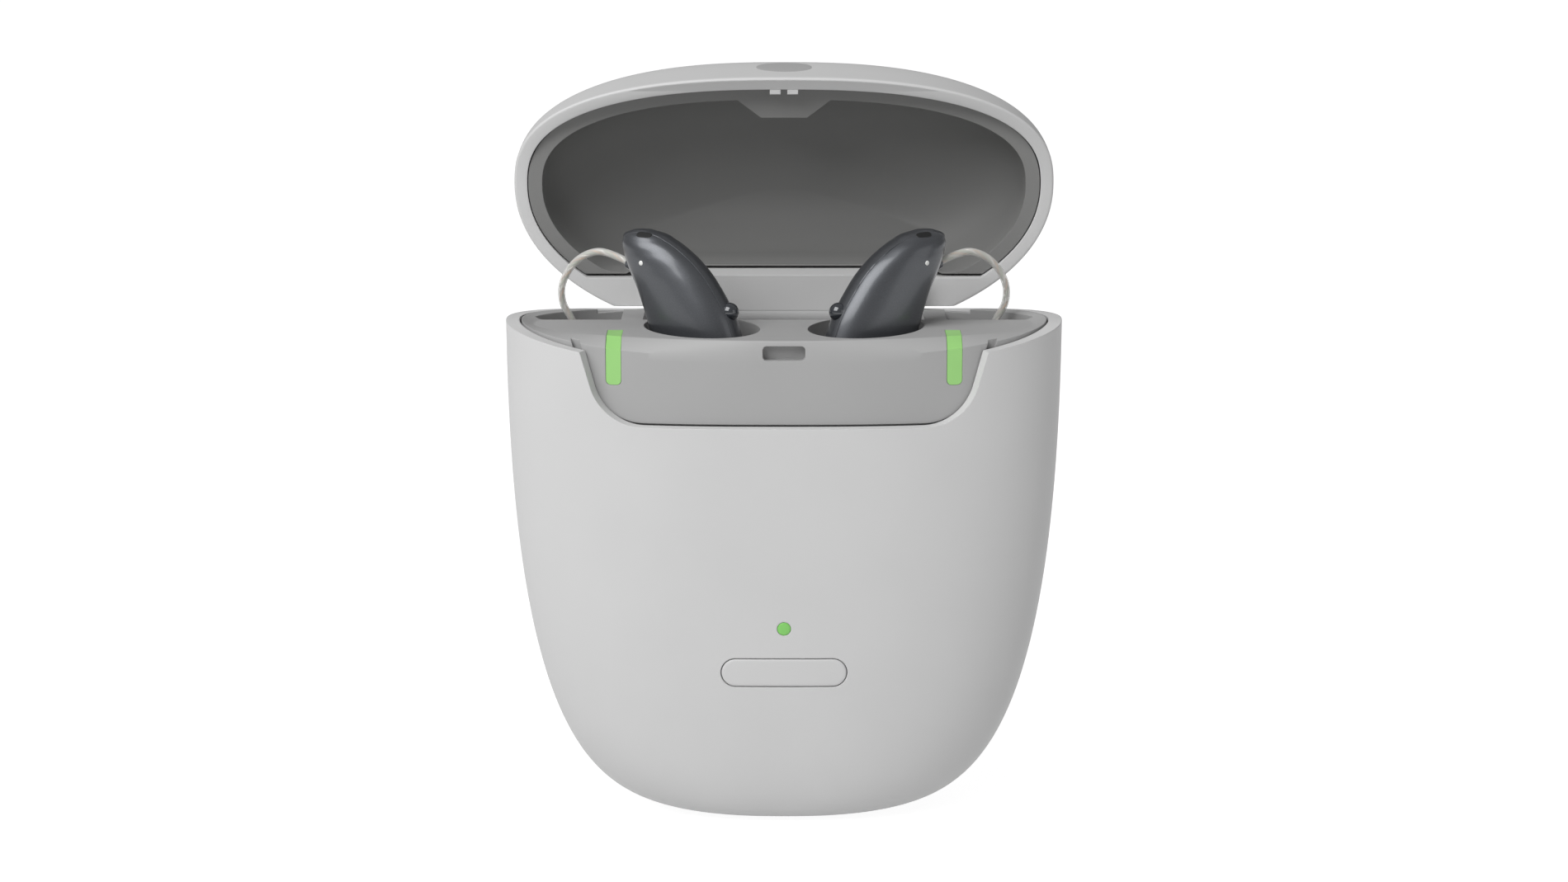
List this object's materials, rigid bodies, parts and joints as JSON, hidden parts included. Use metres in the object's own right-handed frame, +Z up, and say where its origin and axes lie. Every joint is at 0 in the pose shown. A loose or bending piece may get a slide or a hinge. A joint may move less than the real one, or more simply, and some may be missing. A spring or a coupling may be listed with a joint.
{
  "type": "hearing aid charger",
  "caption": "Pocket charging case for a pair of behind-the-ear hearing aids, with a hinged domed lid, charging wells, side pockets for the receivers and a front button.",
  "frame": {"origin": "on the table plane, under the widest line of the housing, at the middle of its width", "axes": "+X to the right seen from the front, +Y to the rear where the hinge is, +Z up"},
  "size_m": [0.0829, 0.0577, 0.1105],
  "materials": {
    "shell": "satin light warm grey",
    "lid": "satin light warm grey",
    "tray": "fine matt mid grey",
    "liner": "fine matt dark grey",
    "light": "translucent green light guide",
    "pad": "matt",
    "steel": "plain",
    "board": "solder mask",
    "frame": "moulded",
    "cell": "foil pouch",
    "coil": "enamelled copper winding",
    "badge": "semi gloss, bare",
    "aid": "graphite lacquer",
    "aid_trim": "black",
    "aid_dot": "white",
    "wire": "clear sheath over twisted leads",
    "dome": "clear silicone"
  },
  "bodies": {
    "charger": {"body_shell": "shell", "foot_pad": "pad", "tray": "tray", "light_bar_left": "light", "light_bar_right": "light", "status_light": "light", "led_status": "light", "hinge_pin": "steel", "chassis": "frame", "battery": "cell", "main_board": "board", "button_switch": "frame", "coil_left": "coil", "coil_right": "coil", "power_socket": "steel", "socket_board": "board"},
    "power_button": {"power_button": "shell"},
    "lid": {"lid_shell": "lid", "lid_liner": "liner", "lid_catch": "lid", "lid_badge": "badge"},
    "left_aid": {"aid_left_outer_half": "aid", "aid_left_inner_half": "aid", "aid_left_mic_cover": "aid_trim", "aid_left_status_dot": "aid_dot", "aid_left_wire_socket": "aid_trim", "aid_left_wire": "wire", "aid_left_receiver": "aid", "aid_left_dome": "dome"},
    "left_aid_button": {"aid_left_button": "aid"},
    "right_aid": {"aid_right_outer_half": "aid", "aid_right_inner_half": "aid", "aid_right_mic_cover": "aid_trim", "aid_right_status_dot": "aid_dot", "aid_right_wire_socket": "aid_trim", "aid_right_wire": "wire", "aid_right_receiver": "aid", "aid_right_dome": "dome"},
    "right_aid_button": {"aid_right_button": "aid"}
  },
  "joints": [
    {"name": "lid_hinge", "type": "hinge", "parent": "charger", "child": "lid", "pos_m": [0, 0.0191, 0.0732], "axis": [-1, 0, 0], "range_deg": [-85, 0]},
    {"name": "power_button_press", "type": "slide", "parent": "charger", "child": "power_button", "axis": [0, 1, 0], "range_m": [0, 0.0004], "stiffness_N_per_m": 1500, "springref_m": -0.0003},
    {"name": "left_aid_lift", "type": "slide", "parent": "charger", "child": "left_aid", "axis": [0, 0, 1], "range_m": [0, 0.03]},
    {"name": "left_aid_button_press", "type": "slide", "parent": "left_aid", "child": "left_aid_button", "axis": [-0.8146, 0.3798, -0.4384], "range_m": [0, 0.0003], "stiffness_N_per_m": 800, "springref_m": -0.0003},
    {"name": "right_aid_lift", "type": "slide", "parent": "charger", "child": "right_aid", "axis": [0, 0, 1], "range_m": [0, 0.03]},
    {"name": "right_aid_button_press", "type": "slide", "parent": "right_aid", "child": "right_aid_button", "axis": [0.8146, 0.3798, -0.4384], "range_m": [0, 0.0003], "stiffness_N_per_m": 800, "springref_m": -0.0003}
  ]
}
